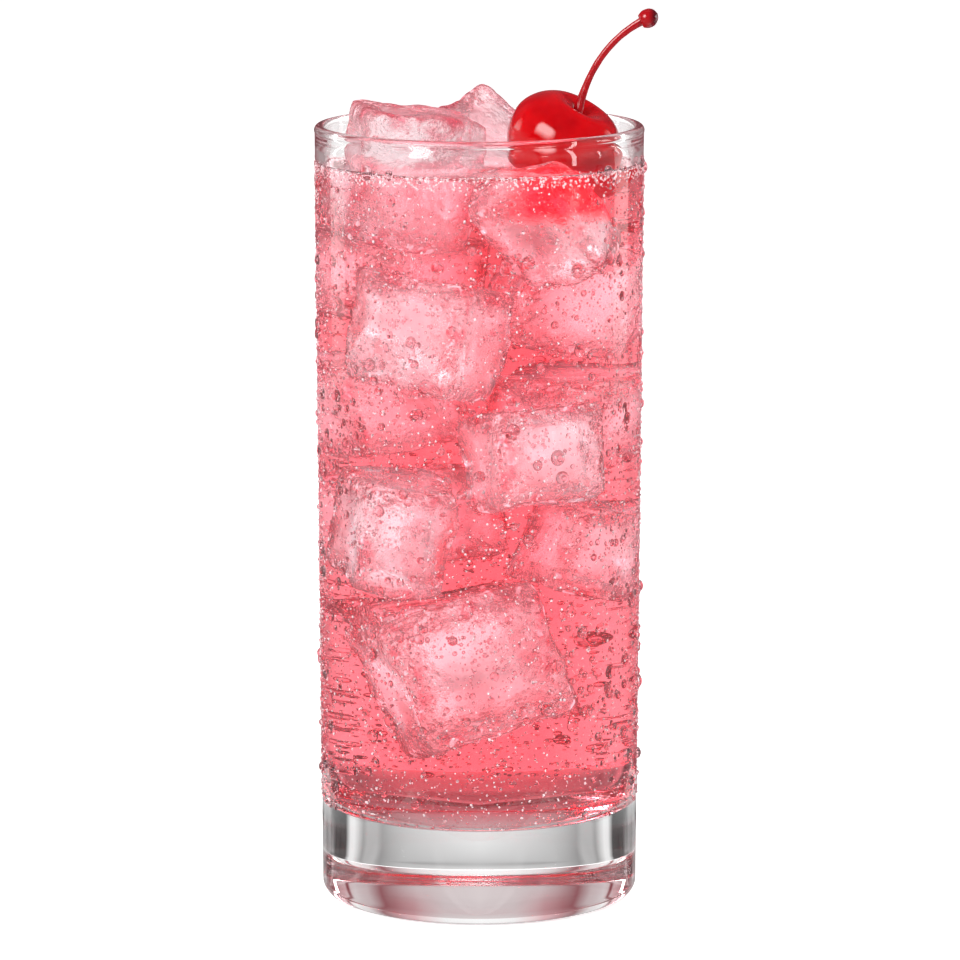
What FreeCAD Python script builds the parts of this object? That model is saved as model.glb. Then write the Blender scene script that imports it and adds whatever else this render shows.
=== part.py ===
"""A pink collins: a tall heavy-based glass, filled with an iced pink drink and topped with a
stemmed cocktail cherry.

The frame has +Z up, with its origin on the table at the middle of the glass's foot, and -Y is
the front. All sizes are in millimetres. Every node is one solid: the glass, the drink up to its
surface, the three ice cubes that stand out of it, the cherry and its stem.
"""
import FreeCAD, Part
import math
import os

# --- Driving sizes ---------------------------------------------------------------------------
# Glass
glass_height = 154.5
rim_diameter = 65.0
base_diameter = 62.8
wall_at_rim = 1.9
wall_at_floor = 2.4
floor_height = 18.0         # the thick clear base, from the table to the inside floor
floor_corner_radius = 6.0   # inside, between the floor and the wall
heel_radius = 2.8           # outside, between the wall and the foot
foot_ring_width = 4.6       # the flat ring that the glass stands on
punt_depth = 1.5            # the shallow dome inside that ring
rim_bead = 0.12             # how far the fire-polished lip stands out past each side of the wall

# Drink
drink_below_rim = 7.9
meniscus_rise = 0.9
meniscus_width = 1.8

# Ice. The sizes and places of the cubes are those for a glass of this inside radius at the
# drink's surface, and they grow or shrink with the glass.
ice_fits_radius = 30.4
ice_taper = 1.0             # how much narrower a cube is at its bottom than at its top
ice_edge_radius = 3.6       # melted edges
ice_cherry_gap = 0.3        # the ice melts back at least this far from the cherry

# Cherry
cherry_diameter = 22.9
cherry_top = 7.5            # from the widest circle to the lip round the dimple
cherry_bottom = 10.9        # from the widest circle to the lower end
dimple_depth = 2.4
dimple_lip_radius = 4.5
cherry_lean_right = 27.0    # degrees
cherry_lean_front = 12.0    # degrees
cherry_wall_gap = 1.7       # between the cherry and the inside of the glass
cherry_forward = 4.0        # from the middle of the glass to the cherry's middle
cherry_above_drink = 5.0    # the cherry's middle, over the drink's surface

# Cherry stem
stem_diameter = 1.3
stem_root_diameter = 2.4
stem_end_diameter = 1.7
stem_seat_depth = 1.2       # how far the stem goes into the flesh
stem_reach = 13.8           # sideways, from the dimple to the knob
stem_rise = 19.8            # upwards, from the dimple to the knob
stem_forward = 1.0          # from the dimple to the knob
stem_start_angle = 79.0     # degrees above level, where it leaves the dimple
stem_start_length = 11.0    # how long the stem keeps to its first direction
stem_end_angle = 25.0       # degrees above level, where it meets the knob
stem_end_length = 7.0       # how long it runs in its last direction
knob_diameter = 3.8
knob_length = 4.2
stem_sections = 12

# --- Worked out from those -------------------------------------------------------------------
rim_radius = rim_diameter / 2
base_radius = base_diameter / 2
wall_outer_top = rim_radius - rim_bead
drink_level = glass_height - drink_below_rim
contact_level = drink_level + meniscus_rise
cherry_radius = cherry_diameter / 2
lip_radius = wall_at_rim / 2 + rim_bead

UP = FreeCAD.Vector(0, 0, 1)
RIGHT = FreeCAD.Vector(1, 0, 0)
ORIGIN = FreeCAD.Vector(0, 0, 0)


def outer_radius(z):
    """Radius of the outside wall at a height, along its straight taper."""
    return base_radius + (wall_outer_top - base_radius) * z / glass_height


def inner_radius(z):
    """Radius of the inside wall at a height. The wall thickens evenly from the rim down."""
    share = (z - floor_height) / (glass_height - floor_height)
    return outer_radius(z) - (wall_at_floor + (wall_at_rim - wall_at_floor) * share)


def at(radius, z):
    """A point of a turned profile, in the XZ plane."""
    return FreeCAD.Vector(radius, 0, z)


def round_corner(before, corner, after, radius):
    """The two tangent points and the middle of an arc that rounds a corner."""
    to_before = (before - corner).normalize()
    to_after = (after - corner).normalize()
    half = to_before.getAngle(to_after) / 2
    reach = radius / math.tan(half)
    middle_line = (to_before + to_after).normalize()
    centre = corner + middle_line * (radius / math.sin(half))
    return corner + to_before * reach, centre - middle_line * radius, corner + to_after * reach


def line(a, b):
    return Part.LineSegment(a, b).toShape()


def arc(a, b, c):
    return Part.Arc(a, b, c).toShape()


def bezier(*poles):
    curve = Part.BezierCurve()
    curve.setPoles(list(poles))
    return curve.toShape()


def turned(edges):
    """A solid of revolution about Z from a closed profile."""
    face = Part.Face(Part.Wire(edges))
    return face.revolve(ORIGIN, UP, 360)


def solid_of(shape):
    """The one solid of a cut or fused shape."""
    return shape.removeSplitter().Solids[0]


def inner_corner():
    """The arc between the floor and the inside wall, the same for the glass and the drink."""
    corner = at(inner_radius(floor_height), floor_height)
    wall_above = at(inner_radius(glass_height), glass_height)
    return round_corner(at(0, floor_height), corner, wall_above, floor_corner_radius)


def lip_points():
    """The lip's arc leaves the outside wall, rolls over the top and meets the inside wall."""
    centre = at(rim_radius - lip_radius, glass_height - lip_radius)
    side = wall_at_rim / 2
    drop = math.sqrt(lip_radius ** 2 - side ** 2)
    return centre + at(side, -drop), centre + at(0, lip_radius), centre + at(-side, -drop)


def make_glass():
    foot, heel_middle, heel_top = round_corner(
        at(0, 0), at(base_radius, 0), at(wall_outer_top, glass_height), heel_radius)
    punt_radius = foot.x - foot_ring_width
    punt_sphere = (punt_radius ** 2 + punt_depth ** 2) / (2 * punt_depth)
    half_way = punt_radius / 2
    punt_middle = at(half_way, punt_depth - punt_sphere + math.sqrt(punt_sphere ** 2 - half_way ** 2))
    lip_out, lip_top, lip_in = lip_points()
    floor_end, corner_middle, wall_start = inner_corner()
    return turned([
        arc(at(0, punt_depth), punt_middle, at(punt_radius, 0)),
        line(at(punt_radius, 0), foot),
        arc(foot, heel_middle, heel_top),
        line(heel_top, lip_out),
        arc(lip_out, lip_top, lip_in),
        line(lip_in, wall_start),
        arc(wall_start, corner_middle, floor_end),
        line(floor_end, at(0, floor_height)),
        line(at(0, floor_height), at(0, punt_depth)),
    ])


def make_drink_body():
    """The whole filling, before the ice and the cherry are cut out of it."""
    floor_end, corner_middle, wall_start = inner_corner()
    lip_in = lip_points()[2]
    share = (contact_level - wall_start.z) / (lip_in.z - wall_start.z)
    contact = at(wall_start.x + (lip_in.x - wall_start.x) * share, contact_level)
    surface_edge = at(contact.x - meniscus_width, drink_level)
    curl = at(contact.x - meniscus_width / 4, drink_level)
    return turned([
        line(at(0, floor_height), floor_end),
        arc(floor_end, corner_middle, wall_start),
        line(wall_start, contact),
        bezier(contact, curl, surface_edge),
        line(surface_edge, at(0, drink_level)),
        line(at(0, drink_level), at(0, floor_height)),
    ])


def make_ice(width, depth, height, across, back, above, yaw, lean_right, lean_back):
    """A moulded ice cube with melted edges, placed from the glass's axis and the drink's surface."""
    fit = inner_radius(drink_level) / ice_fits_radius
    w, d, h, t = width * fit / 2, depth * fit / 2, height * fit / 2, ice_taper / 4
    bottom = Part.makePolygon([FreeCAD.Vector(x, y, -h) for x, y in (
        (-w + t, -d + t), (w - t, -d + t), (w - t, d - t), (-w + t, d - t), (-w + t, -d + t))])
    top = Part.makePolygon([FreeCAD.Vector(x, y, h) for x, y in (
        (-w - t, -d - t), (w + t, -d - t), (w + t, d + t), (-w - t, d + t), (-w - t, -d - t))])
    cube = Part.makeLoft([bottom, top], True, True)
    cube = cube.makeFillet(ice_edge_radius * fit, cube.Edges)
    turn = FreeCAD.Rotation(UP, yaw)
    right = FreeCAD.Rotation(FreeCAD.Vector(0, 1, 0), lean_right)
    tilt_back = FreeCAD.Rotation(RIGHT, -lean_back)
    middle = FreeCAD.Vector(across * fit, back * fit, drink_level + above * fit)
    cube.Placement = FreeCAD.Placement(middle, right.multiply(tilt_back).multiply(turn))
    room_for_cherry = Part.makeSphere(cherry_radius + ice_cherry_gap, cherry_placement().Base)
    return cube.cut(room_for_cherry).Solids[0]


def ice_cubes():
    """The cubes that stand out of the drink: size, place, turn and lean of each."""
    return {
        "ice_left": make_ice(25.0, 18.0, 27.0, -13.6, -7.0, -1.6, 16, 9, -2),
        "ice_back": make_ice(20.0, 20.0, 18.0, 0.6, 14.4, 0.3, -27, 21, -25),
        "ice_front": make_ice(12.0, 20.0, 24.0, 11.9, -14.5, -10.0, 60, -33, -26),
    }


def cherry_placement():
    """The cherry leans to the right and to the front, close to the inside wall."""
    reach = inner_radius(drink_level) - cherry_radius - cherry_wall_gap
    sideways = math.sqrt(reach ** 2 - cherry_forward ** 2)
    middle = FreeCAD.Vector(sideways, -cherry_forward, drink_level + cherry_above_drink)
    right = FreeCAD.Rotation(FreeCAD.Vector(0, 1, 0), cherry_lean_right)
    front = FreeCAD.Rotation(RIGHT, cherry_lean_front)
    return FreeCAD.Placement(middle, right.multiply(front))


def make_cherry():
    """A turned fruit: a dimple, a rounded lip, a full waist and a blunt lower end."""
    dimple = at(0, cherry_top - dimple_depth)
    lip = at(dimple_lip_radius, cherry_top)
    waist = at(cherry_radius, 0)
    end = at(0, -cherry_bottom)
    fruit = turned([
        bezier(dimple, dimple + at(dimple_lip_radius * 0.45, 0), lip - at(dimple_lip_radius * 0.5, 0), lip),
        bezier(lip, lip + at((cherry_radius - dimple_lip_radius) * 0.55, 0),
               waist + at(0, cherry_top * 0.58), waist),
        bezier(waist, waist - at(0, cherry_bottom * 0.56), end + at(cherry_radius * 0.52, 0), end),
        line(end, dimple),
    ])
    fruit.Placement = cherry_placement()
    return fruit


def direction(angle):
    """A direction in the XZ plane, at an angle above level, to the right."""
    return at(math.cos(math.radians(angle)), math.sin(math.radians(angle)))


def make_stem():
    """A stem that leaves the dimple upright, bends over to the right and ends in a knob."""
    mouth = cherry_placement().multVec(at(0, cherry_top - dimple_depth))
    knob_middle = mouth + FreeCAD.Vector(stem_reach, -stem_forward, stem_rise)
    path = Part.BezierCurve()
    path.setPoles([
        mouth, mouth + direction(stem_start_angle) * stem_start_length,
        knob_middle - direction(stem_end_angle) * stem_end_length, knob_middle])

    start_way = path.tangent(0)[0]
    rings = [ring(mouth - start_way * stem_seat_depth, start_way, stem_root_diameter / 2)]
    for i in range(stem_sections + 1):
        along = i / stem_sections
        flare = (stem_root_diameter - stem_diameter) / 2 * max(0, 1 - along * 3) ** 2
        swell = (stem_end_diameter - stem_diameter) / 2 * max(0, along * 4 - 3) ** 2
        rings.append(ring(path.value(along), path.tangent(along)[0], stem_diameter / 2 + flare + swell))
    stalk = Part.makeLoft(rings, True, False)

    knob = Part.makeSphere(knob_diameter / 2)
    stretch = FreeCAD.Matrix()
    stretch.scale(1, 1, knob_length / knob_diameter)
    knob = knob.transformGeometry(stretch)
    knob.Placement = FreeCAD.Placement(knob_middle, FreeCAD.Rotation(UP, path.tangent(1)[0]))
    return solid_of(stalk.fuse(knob))


def ring(middle, way, radius):
    return Part.Wire(Part.makeCircle(radius, middle, way))


def main():
    ice = ice_cubes()
    stem = make_stem()
    fruit = make_cherry()
    nodes = {
        "glass": make_glass(),
        "drink": solid_of(make_drink_body().cut([*ice.values(), fruit])),
        "cherry": solid_of(fruit.cut(stem)),
        "cherry_stem": stem,
        **ice,
    }
    os.makedirs("parts", exist_ok=True)
    for name, shape in nodes.items():
        shape.exportStep(f"parts/{name}.step")
        print(f"{name}: volume {shape.Volume:.0f} mm3, valid {shape.isValid()}")


main()
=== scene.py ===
import math

import bmesh
import bpy
from mathutils import Euler, Matrix, Vector, noise
from mathutils.bvhtree import BVHTree


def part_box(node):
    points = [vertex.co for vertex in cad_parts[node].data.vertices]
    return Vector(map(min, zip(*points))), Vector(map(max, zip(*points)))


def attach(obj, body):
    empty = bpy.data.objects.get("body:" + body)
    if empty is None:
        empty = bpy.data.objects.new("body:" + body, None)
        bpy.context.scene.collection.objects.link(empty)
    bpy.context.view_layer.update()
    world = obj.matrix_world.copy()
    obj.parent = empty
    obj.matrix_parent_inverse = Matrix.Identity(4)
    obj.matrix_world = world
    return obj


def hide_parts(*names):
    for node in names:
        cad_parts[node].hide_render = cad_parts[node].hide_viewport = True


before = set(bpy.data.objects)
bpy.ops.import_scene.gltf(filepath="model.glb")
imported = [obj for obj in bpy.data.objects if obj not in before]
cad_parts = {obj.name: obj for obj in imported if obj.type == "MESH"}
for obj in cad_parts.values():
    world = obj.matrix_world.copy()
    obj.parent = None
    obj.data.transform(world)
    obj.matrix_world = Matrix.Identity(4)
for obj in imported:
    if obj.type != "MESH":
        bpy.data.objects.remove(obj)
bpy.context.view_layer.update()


# --- The glass ------------------------------------------------------------------------------
# A collins glass of clear soda-lime glass: a thick solid base under a thin, straight wall, with
# a fire-polished lip. It is pressed in a round mould, so it is turned from one outline.
MM = 0.001
glass_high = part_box("glass")[1]
GLASS_HEIGHT = glass_high[2]
RIM_RADIUS = glass_high[0]
RIM_BEAD = 0.12 * MM
LIP_RADIUS = 1.07 * MM
LIP_TUCK = 0.5 * MM
WALL_AT_RIM = 1.9 * MM
WALL_AT_FLOOR = 2.4 * MM
FOOT_RADIUS = 31.4 * MM
FLOOR_HEIGHT = 18.0 * MM
FLOOR_CORNER = 6.0 * MM
HEEL_RADIUS = 2.8 * MM
FOOT_RING = 4.6 * MM
PUNT_DEPTH = 1.5 * MM
ON_AXIS = 0.0001 * MM
GLASS_SIDES = 256
PUNT_STEPS = 18
FOOT_RING_STEPS = 5
HEEL_STEPS = 12
WALL_STEPS = 40
LIP_STEPS = 24
FLOOR_STEPS = 8
CORNER_STEPS = 14
GLASS_IOR = 1.5
WHITE = (1, 1, 1, 1)
# Pink painted into the glass's heel, standing for the drink's light reflected there.
PAINTED_HEEL_PINK = (0.90, 0.42, 0.46, 1)


def outer_radius(z):
    top = RIM_RADIUS - RIM_BEAD
    return FOOT_RADIUS + (top - FOOT_RADIUS) * z / GLASS_HEIGHT


def inner_radius(z):
    share = (z - FLOOR_HEIGHT) / (GLASS_HEIGHT - FLOOR_HEIGHT)
    return outer_radius(z) - (WALL_AT_FLOOR + (WALL_AT_RIM - WALL_AT_FLOOR) * share)


def arc(centre, radius, start, end, steps):
    """Points (radius, height) of an arc. The angles are in degrees, 0 outwards and 90 up."""
    points = []
    for i in range(steps + 1):
        a = math.radians(start + (end - start) * i / steps)
        points.append((centre[0] + radius * math.cos(a), centre[1] + radius * math.sin(a)))
    return points


def straight(start, end, steps):
    """Points between two points of an outline, without the ends."""
    return [(start[0] + (end[0] - start[0]) * i / steps, start[1] + (end[1] - start[1]) * i / steps)
            for i in range(1, steps)]


def ring_round(bm, radius, height, sides):
    """Vertices evenly round the vertical axis, all at one height."""
    ring = []
    for k in range(sides):
        a = 2 * math.pi * k / sides
        ring.append(bm.verts.new((radius * math.cos(a), radius * math.sin(a), height)))
    return ring


def mesh_of(name, bm):
    mesh = bpy.data.meshes.new(name)
    bm.to_mesh(mesh)
    return mesh


def add_piece(name, mesh):
    mesh.shade_smooth()
    piece = bpy.data.objects.new(name, mesh)
    bpy.context.scene.collection.objects.link(piece)
    return piece


def turn(name, outline, sides):
    """A closed body turned about the vertical axis, from an outline that starts and ends on it."""
    bm = bmesh.new()
    rings = []
    for radius, height in outline:
        if radius < ON_AXIS:
            rings.append([bm.verts.new((0, 0, height))])
        else:
            rings.append(ring_round(bm, radius, height, sides))
    for lower, upper in zip(rings, rings[1:]):
        for k in range(sides):
            j = (k + 1) % sides
            corners = [lower[k % len(lower)], lower[j % len(lower)]]
            corners += [upper[j % len(upper)], upper[k % len(upper)]]
            bm.faces.new(list(dict.fromkeys(corners)))
    bmesh.ops.recalc_face_normals(bm, faces=bm.faces)
    piece = add_piece(name, mesh_of(name, bm))
    bm.free()
    return piece


def inside_outline(grow):
    """The inside of the glass, from the middle of its floor to the wall, moved into the glass."""
    corner_radius = FLOOR_CORNER + grow
    floor = FLOOR_HEIGHT - grow
    centre = (inner_radius(FLOOR_HEIGHT) - FLOOR_CORNER, FLOOR_HEIGHT + FLOOR_CORNER)
    points = [(0, floor)] + straight((0, floor), (centre[0], floor), FLOOR_STEPS)
    return points + arc(centre, corner_radius, -90, 0.2, CORNER_STEPS)


heel_centre = (FOOT_RADIUS - HEEL_RADIUS, HEEL_RADIUS)
punt_radius = heel_centre[0] - FOOT_RING
lip_centre = (RIM_RADIUS - LIP_RADIUS, GLASS_HEIGHT - LIP_RADIUS)
wall_top = lip_centre[1] - LIP_TUCK
punt_outline = []
for i in range(PUNT_STEPS + 1):
    share = i / PUNT_STEPS
    punt_outline.append((punt_radius * share, PUNT_DEPTH * (1 - share ** 2)))
outside = punt_outline + straight(punt_outline[-1], (heel_centre[0], 0), FOOT_RING_STEPS)
outside += arc(heel_centre, HEEL_RADIUS, -90, 0.3, HEEL_STEPS)
outside += straight(outside[-1], (outer_radius(lip_centre[1]), wall_top), WALL_STEPS)
outside += arc(lip_centre, LIP_RADIUS, -26, 206, LIP_STEPS)
inside = inside_outline(0)
wall_inside = straight(inside[-1], (inner_radius(lip_centre[1]), wall_top), WALL_STEPS)
glass = turn("glass_wall", outside + wall_inside[::-1] + inside[::-1], GLASS_SIDES)


def new_material(name, finish):
    """A Principled material, its tree and its shader. Finish gives what is alike all over."""
    material = bpy.data.materials.new(name)
    material.use_nodes = True
    material.cycles.emission_sampling = "NONE"
    tree = material.node_tree
    shader = tree.nodes["Principled BSDF"]
    for socket, value in finish.items():
        shader.inputs[socket].default_value = value
    return material, tree, shader


def feed(tree, socket, value):
    """Sets a node's socket to a value, or links it to another node's output."""
    if isinstance(value, bpy.types.NodeSocket):
        tree.links.new(value, socket)
    else:
        socket.default_value = value


def mathematics(tree, operation, first, second):
    node = tree.nodes.new("ShaderNodeMath")
    node.operation = operation
    feed(tree, node.inputs[0], first)
    feed(tree, node.inputs[1], second)
    return node.outputs["Value"]


def multiply(tree, first, second):
    return mathematics(tree, "MULTIPLY", first, second)


def mix_colours(tree, factor, first, second):
    """The first colour where the factor is 0, the second where it is 1."""
    node = tree.nodes.new("ShaderNodeMix")
    node.data_type = "RGBA"
    feed(tree, node.inputs["Factor"], factor)
    feed(tree, node.inputs["A"], first)
    feed(tree, node.inputs["B"], second)
    return node.outputs["Result"]


def ramp(tree, source, low, high, low_value, high_value):
    """Maps source between two limits onto two values, and no further."""
    node = tree.nodes.new("ShaderNodeMapRange")
    node.inputs["From Min"].default_value = low
    node.inputs["From Max"].default_value = high
    node.inputs["To Min"].default_value = low_value
    node.inputs["To Max"].default_value = high_value
    tree.links.new(source, node.inputs["Value"])
    return node.outputs["Result"]


def axes(tree, output="Object"):
    """X, Y and Z of a place on the piece, or of a direction in the sky when Generated is asked."""
    coordinates = tree.nodes.new("ShaderNodeTexCoord")
    split = tree.nodes.new("ShaderNodeSeparateXYZ")
    tree.links.new(coordinates.outputs[output], split.inputs["Vector"])
    return [split.outputs[axis] for axis in "XYZ"]


def distance_from(tree, point):
    """How far a place on the piece is from a point."""
    coordinates = tree.nodes.new("ShaderNodeTexCoord")
    distance = tree.nodes.new("ShaderNodeVectorMath")
    distance.operation = "DISTANCE"
    tree.links.new(coordinates.outputs["Object"], distance.inputs[0])
    distance.inputs[1].default_value = point
    return distance.outputs["Value"]


def object_noise(tree, scale, detail=2.0, stretch=(1, 1, 1)):
    """Noise that is fixed to the piece, with features about 1/scale metres wide."""
    coordinates = tree.nodes.new("ShaderNodeTexCoord")
    mapping = tree.nodes.new("ShaderNodeMapping")
    mapping.inputs["Scale"].default_value = stretch
    texture = tree.nodes.new("ShaderNodeTexNoise")
    texture.inputs["Scale"].default_value = scale
    texture.inputs["Detail"].default_value = detail
    tree.links.new(coordinates.outputs["Object"], mapping.inputs["Vector"])
    tree.links.new(mapping.outputs["Vector"], texture.inputs["Vector"])
    return texture.outputs["Fac"]


def add_bump(tree, shader, height, strength, distance):
    bump = tree.nodes.new("ShaderNodeBump")
    bump.inputs["Strength"].default_value = strength
    bump.inputs["Distance"].default_value = distance
    tree.links.new(height, bump.inputs["Height"])
    tree.links.new(bump.outputs["Normal"], shader.inputs["Normal"])


def off_square(tree, output="Object", sideways=0.0, inwards=0.0):
    """0 straight ahead, behind or to a side, and 1 half way between, seen from the middle."""
    x, y, _ = axes(tree, output)
    along = mathematics(tree, "ABSOLUTE", x, 0)
    across = mathematics(tree, "ABSOLUTE", y, 0)
    least = mathematics(tree, "ADD", mathematics(tree, "MINIMUM", along, across), sideways)
    most = mathematics(tree, "SUBTRACT", mathematics(tree, "MAXIMUM", along, across), inwards)
    return mathematics(tree, "DIVIDE", least, mathematics(tree, "MAXIMUM", most, 0.0001))


def clear_glass():
    """Clear glass, faintly wavy as a pressed wall is, with the drink's pink light painted into its heel."""
    material, tree, shader = new_material("clear_glass", {
        "Transmission Weight": 1, "Roughness": 0, "IOR": GLASS_IOR})
    sides = off_square(tree)
    band = multiply(tree, ramp(tree, sides, 0.22, 0.45, 0, 1), ramp(tree, sides, 0.62, 0.8, 1, 0))
    heel = ramp(tree, axes(tree)[2], 4.0 * MM, 7.5 * MM, 1, 0)
    # Painted light: the drink's pink, in four arcs round the heel, put into the glass's colour.
    painted_heel_colour = mix_colours(tree, multiply(tree, band, heel), WHITE, PAINTED_HEEL_PINK)
    tree.links.new(painted_heel_colour, shader.inputs["Base Color"])
    add_bump(tree, shader, object_noise(tree, 60, 1, (1, 1, 0.2)), 0.08, 0.2 * MM)
    return material


glass.data.materials.append(clear_glass())
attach(glass, "root")
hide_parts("glass")


# --- The ice --------------------------------------------------------------------------------
# Moulded cubes of frozen water, half melted: round edges, hollow wrinkled sides and a cloudy
# middle. Three stand out of the drink, and the others are held under it by them.
# Their glow, edge glints, dark red crease shade and the cherry's red on them are painted light.
ICE_EDGE = 3.4 * MM
ICE_CUTS = 20
ICE_FLAT_SHARE = 0.35
ICE_TAPER = 0.02
ICE_IOR = 1.31
# Strength of the painted glow in the ice.
PAINTED_ICE_GLOW = 0.62
SEAT = 0.05 * MM
DRINK_LEVEL = GLASS_HEIGHT - 7.9 * MM
ICE_TO_CHERRY = 0.3 * MM
CHERRY_RADIUS = 11.45 * MM
CHERRY_TO_WALL = 1.7 * MM
CHERRY_FORWARD = 4.0 * MM
CHERRY_RISE = 5.0 * MM
BLACK = (0, 0, 0, 1)
# Colour of the painted glow in the ice.
PAINTED_GLOW_WHITE = (0.85, 0.92, 0.97, 1)
# The cherry's red light painted on the ice near it, in its colour and in its glow.
PAINTED_CHERRY_RED = (0.9, 0.02, 0.05, 1)
PAINTED_CHERRY_GLOW = (1.0, 0.01, 0.03, 1)
cherry_reach = inner_radius(DRINK_LEVEL) - CHERRY_RADIUS - CHERRY_TO_WALL
cherry_right = math.sqrt(cherry_reach ** 2 - CHERRY_FORWARD ** 2)
cherry_middle = Vector((cherry_right, -CHERRY_FORWARD, DRINK_LEVEL + CHERRY_RISE))


def melted(point, edge, seed, hollow):
    """How far the melting has moved a point of a cube's side, along the side's direction."""
    place = point * 1000 + Vector((seed * 37.1, seed * 11.7, seed * 5.3))
    broad = noise.noise(place / 9.0) * 1.3
    ripple = noise.noise(place / 3.1 + Vector((7, 3, 1))) * 0.34
    fine = noise.noise(place / 1.3 + Vector((1, 9, 4))) * 0.10
    return (broad + (ripple + fine) * (0.45 + 0.9 * edge) - hollow * (1 - edge)) * MM


def ice_shape(size, middle, angles, seed, hollow=0.9):
    """One melted cube, which knows how near its points are to an edge. Sizes are in mm."""
    bm = bmesh.new()
    bmesh.ops.create_cube(bm, size=2.0)
    bmesh.ops.subdivide_edges(bm, edges=bm.edges, cuts=ICE_CUTS, use_grid_fill=True)
    half = Vector(size) * MM / 2
    rough_edge = bm.verts.layers.float.new("rough_edge")
    yaw, lean_right, lean_back = (math.radians(a) for a in angles)
    spin = (Matrix.Rotation(lean_right, 3, "Y") @ Matrix.Rotation(-lean_back, 3, "X")
            @ Matrix.Rotation(yaw, 3, "Z"))
    centre = Vector(middle) * MM
    for vert in bm.verts:
        flat = Vector([vert.co[i] * half[i] for i in range(3)])
        core = Vector([max(-half[i] + ICE_EDGE, min(half[i] - ICE_EDGE, flat[i])) for i in range(3)])
        outward = (flat - core).normalized()
        sides = sorted(abs(vert.co[i]) for i in range(3))
        edge = max(0.0, (sides[1] - ICE_FLAT_SHARE) / (1 - ICE_FLAT_SHARE)) ** 1.5
        vert[rough_edge] = edge
        taper = 1 + ICE_TAPER * vert.co.z
        point = core + outward * ICE_EDGE
        point += outward * melted(point, edge, seed, hollow)
        vert.co = Vector((point.x * taper, point.y * taper, point.z))
    reach = CHERRY_RADIUS + ICE_TO_CHERRY
    for vert in bm.verts:
        vert.co = spin @ vert.co + centre
        from_cherry = vert.co - cherry_middle
        if from_cherry.length < reach:
            vert.co = cherry_middle + from_cherry.normalized() * reach
    bm.normal_update()
    return bm


def shrunk_copy(bm, name, inwards):
    """A copy of a shape moved inwards all over: the hollow that it leaves in the drink."""
    copy = bm.copy()
    copy.normal_update()
    moved = [vert.co - vert.normal * inwards for vert in copy.verts]
    for vert, place in zip(copy.verts, moved):
        vert.co = place
    mesh = mesh_of(name, copy)
    copy.free()
    return mesh


def clear_ice(name, colour, crease_shade_colour, face_wrinkle):
    """Clear wet ice, wrinkled towards its edges, cloudy with air, with painted glow, glints, crease shade and
    cherry red.
    """
    material, tree, shader = new_material(name, {"IOR": ICE_IOR, "Emission Strength": PAINTED_ICE_GLOW})
    attribute = tree.nodes.new("ShaderNodeAttribute")
    attribute.attribute_name = "rough_edge"
    edge = attribute.outputs["Fac"]
    x, y, z = axes(tree)
    from_cherry = distance_from(tree, cherry_middle)
    reach = CHERRY_RADIUS + ICE_TO_CHERRY

    # Painted shade: dark red in the wrinkles towards the edges.
    painted_crease_shade = multiply(tree, ramp(tree, object_noise(tree, 260, 3), 0.45, 0.62, 0, 1),
                     ramp(tree, edge, 0.1, 0.6, 0, 1))
    # Painted light: the cherry's red, beside it and in front under the drink's level, in the ice's colour and
    # glow.
    beside = ramp(tree, from_cherry, reach, reach + 1.5 * MM, 1, 0)
    under = multiply(tree, ramp(tree, z, DRINK_LEVEL - 9.5 * MM, DRINK_LEVEL - 6.5 * MM, 0, 1),
                     ramp(tree, z, DRINK_LEVEL - 0.5 * MM, DRINK_LEVEL + 0.5 * MM, 1, 0))
    in_front = multiply(tree, ramp(tree, x, 4 * MM, 9 * MM, 0, 1),
                        ramp(tree, y, -6 * MM, -2 * MM, 1, 0))
    painted_cherry_light = mathematics(tree, "MAXIMUM", beside, multiply(tree, under, in_front))
    pink = mix_colours(tree, painted_crease_shade, colour, crease_shade_colour)
    tree.links.new(mix_colours(tree, painted_cherry_light, pink, PAINTED_CHERRY_RED), shader.inputs["Base Color"])

    # Painted light: a white glow in cloudy patches of the faces and glints at the rough edges, weaker above
    # the drink and near the cherry.
    face = ramp(tree, edge, 0.0, 0.5, 1, 0)
    patches = object_noise(tree, 110, 4, (1, 1, 0.5))
    painted_cloud_glow = multiply(tree, face, ramp(tree, patches, 0.40, 0.62, 0.12, 0.65))
    painted_glint_mask = multiply(tree, ramp(tree, edge, 0.25, 0.7, 0, 1),
                       ramp(tree, object_noise(tree, 520, 2), 0.60, 0.68, 0, 1))
    away = ramp(tree, from_cherry, CHERRY_RADIUS, CHERRY_RADIUS + 8 * MM, 0, 1)
    sunk_part = ramp(tree, z, DRINK_LEVEL - 1 * MM, DRINK_LEVEL + 1 * MM, 1, 0.17)
    lit = multiply(tree, mathematics(tree, "MAXIMUM", painted_cloud_glow, painted_glint_mask), away)
    painted_glow_colour = mix_colours(tree, multiply(tree, lit, sunk_part), BLACK, PAINTED_GLOW_WHITE)
    tree.links.new(mix_colours(tree, painted_cherry_light, painted_glow_colour, PAINTED_CHERRY_GLOW), shader.inputs["Emission Color"])

    misted = multiply(tree, face, ramp(tree, object_noise(tree, 75, 3), 0.42, 0.62, 0, 1))
    tree.links.new(ramp(tree, misted, 0, 1, 1.0, 0.97), shader.inputs["Transmission Weight"])
    tree.links.new(ramp(tree, misted, 0, 1, 0.03, 0.4), shader.inputs["Roughness"])
    wrinkles = multiply(tree, object_noise(tree, 380, 4), ramp(tree, edge, 0.05, 0.7, face_wrinkle, 1))
    add_bump(tree, shader, wrinkles, 1.0, 2.4 * MM)
    return material


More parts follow.
